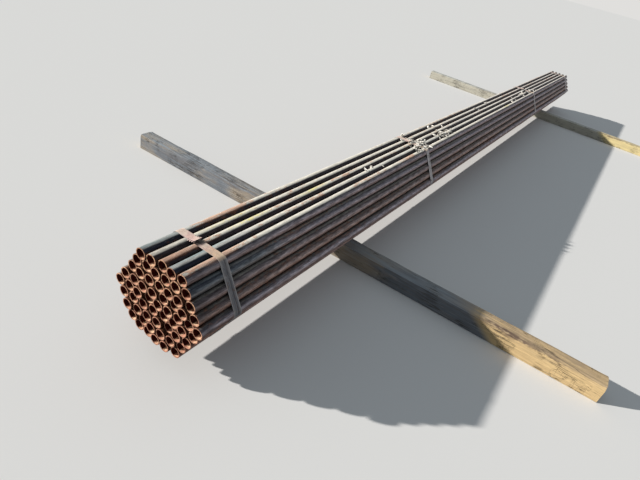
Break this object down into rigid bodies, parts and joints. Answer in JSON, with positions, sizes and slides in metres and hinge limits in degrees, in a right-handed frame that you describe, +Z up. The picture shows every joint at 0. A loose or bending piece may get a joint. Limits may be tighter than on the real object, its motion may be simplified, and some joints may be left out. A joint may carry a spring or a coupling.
{
  "type": "bundle of iron pipes",
  "caption": "Hexagonal bundle of plain round steel pipes held by flat steel straps and lying on two square timber bearers.",
  "frame": {"origin": "on the floor, under the middle of the bundle", "axes": "+Y along the pipes, away from the end seen in the picture; +Z up; +X to the right of that end"},
  "size_m": [2.6814, 6.4258, 0.4298],
  "materials": {
    "pipe_steel": "matte",
    "strap_steel": "satin",
    "timber": "matte"
  },
  "bodies": {
    "root": {"pipe_row_1": "pipe_steel", "pipe_row_2": "pipe_steel", "pipe_row_3": "pipe_steel", "pipe_row_4": "pipe_steel", "pipe_row_5": "pipe_steel", "pipe_row_6": "pipe_steel", "pipe_row_7": "pipe_steel", "pipe_row_8": "pipe_steel", "pipe_row_9": "pipe_steel", "strap_near_end": "strap_steel", "strap_near_middle": "strap_steel", "strap_far_middle": "strap_steel", "strap_far_end": "strap_steel", "bearer_near": "timber", "bearer_far": "timber"}
  },
  "joints": []
}
